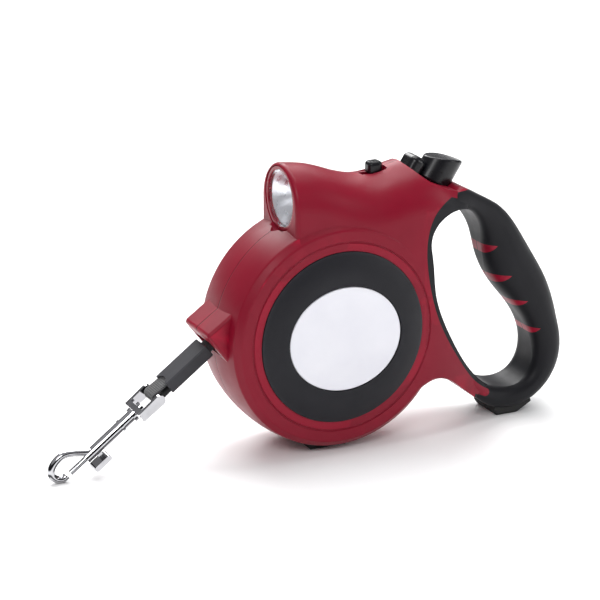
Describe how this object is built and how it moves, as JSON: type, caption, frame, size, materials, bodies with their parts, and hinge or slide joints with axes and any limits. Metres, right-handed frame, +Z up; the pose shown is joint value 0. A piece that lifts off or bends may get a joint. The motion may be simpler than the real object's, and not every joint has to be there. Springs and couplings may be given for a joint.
{
  "type": "retractable leash",
  "caption": "Hand-held retractable tape leash: drum housing with sprung reel, looped handle, torch, brake and lock buttons, tape stop and trigger snap.",
  "frame": {"origin": "on the standing plane, straight below the reel axis, midway between the two housing halves", "axes": "+X towards the handle, +Y towards the right (screw) side, +Z up; the nose points to -X"},
  "size_m": [0.27, 0.0506, 0.1408],
  "materials": {
    "shell_red": "fine-grained moulded ABS, satin",
    "grip_black": "soft-touch thermoplastic rubber",
    "cover_black": "fine matt grain",
    "label_white": "plain glossy plate",
    "bezel_red": "polished",
    "button_black": "polished",
    "reel_plastic": "natural acetal",
    "sleeve_black": "satin",
    "tape_black": "woven nylon tape",
    "rubber_black": "matt",
    "chrome": "bright plated zinc",
    "steel": "turned",
    "screw_steel": "zinc plated",
    "spring_steel": "blued",
    "lens_clear": "clear polycarbonate",
    "reflector": "metallised",
    "led_yellow": "resin dome",
    "board_green": "solder mask"
  },
  "bodies": {
    "housing": {"left_shell": "shell_red", "right_shell": "shell_red", "left_grip": "grip_black", "right_grip": "grip_black", "left_cover": "cover_black", "right_cover": "cover_black", "left_label": "label_white", "right_label": "label_white", "housing_screws": "screw_steel", "foot_pad": "rubber_black", "heel_pad": "rubber_black", "axle": "steel", "axle_screw": "screw_steel", "return_spring": "spring_steel", "lamp_bezel": "bezel_red", "lamp_lens": "lens_clear", "lamp_reflector": "reflector", "lamp_led": "led_yellow", "lamp_board": "board_green", "battery_holder": "cover_black", "button_cells": "steel", "battery_contact": "spring_steel", "lamp_switch_body": "cover_black", "brake_spring": "spring_steel", "lock_spring": "spring_steel", "tape_guide": "bezel_red"},
    "reel": {"reel": "reel_plastic", "spring_cover": "reel_plastic", "wound_tape": "tape_black"},
    "lead": {"tape_run": "tape_black", "stop_sleeve": "sleeve_black", "strap_loop": "tape_black"},
    "snap_eye": {"snap_eye": "chrome"},
    "snap_hook": {"snap_hook": "chrome", "bolt_spring": "spring_steel"},
    "snap_bolt": {"snap_bolt": "chrome"},
    "brake": {"brake_button": "button_black", "brake_pawl": "steel"},
    "lock": {"lock_button": "button_black"},
    "switch": {"lamp_switch_knob": "button_black"}
  },
  "joints": [
    {"name": "reel_spin", "type": "hinge", "parent": "housing", "child": "reel", "pos_m": [0, 0, 0.0585], "axis": [0, -1, 0], "range_deg": [0, 360], "stiffness_Nm_per_rad": 0.02, "springref_deg": -458.37},
    {"name": "lead_pull", "type": "slide", "parent": "housing", "child": "lead", "axis": [-0.8, 0, -0.6], "range_m": [0, 0.22]},
    {"name": "eye_pivot", "type": "hinge", "parent": "lead", "child": "snap_eye", "pos_m": [-0.0882, 0, 0.0361], "axis": [0, 1, 0], "range_deg": [-60, 60]},
    {"name": "snap_swivel", "type": "hinge", "parent": "snap_eye", "child": "snap_hook", "pos_m": [-0.0882, 0, 0.0361], "axis": [-0.7965, 0, -0.6046], "continuous": true},
    {"name": "bolt_slide", "type": "slide", "parent": "snap_hook", "child": "snap_bolt", "axis": [0.7965, 0, 0.6046], "range_m": [0, 0.0065], "stiffness_N_per_m": 400, "springref_m": -0.004, "deforming": ["bolt_spring"]},
    {"name": "brake_press", "type": "slide", "parent": "housing", "child": "brake", "axis": [-0.5402, 0, -0.8415], "range_m": [0, 0.0035], "stiffness_N_per_m": 900, "springref_m": -0.004, "deforming": ["brake_spring"]},
    {"name": "lock_press", "type": "slide", "parent": "housing", "child": "lock", "axis": [-0.5402, 0, -0.8415], "range_m": [0, 0.003], "stiffness_N_per_m": 900, "springref_m": -0.003, "deforming": ["lock_spring"]},
    {"name": "lamp_switch", "type": "slide", "parent": "housing", "child": "switch", "axis": [-1, 0, 0], "range_m": [0, 0.0026]}
  ],
  "couplings": [
    {"joint": "lead_pull", "follows": "reel_spin", "m_per_rad": 0.035}
  ]
}
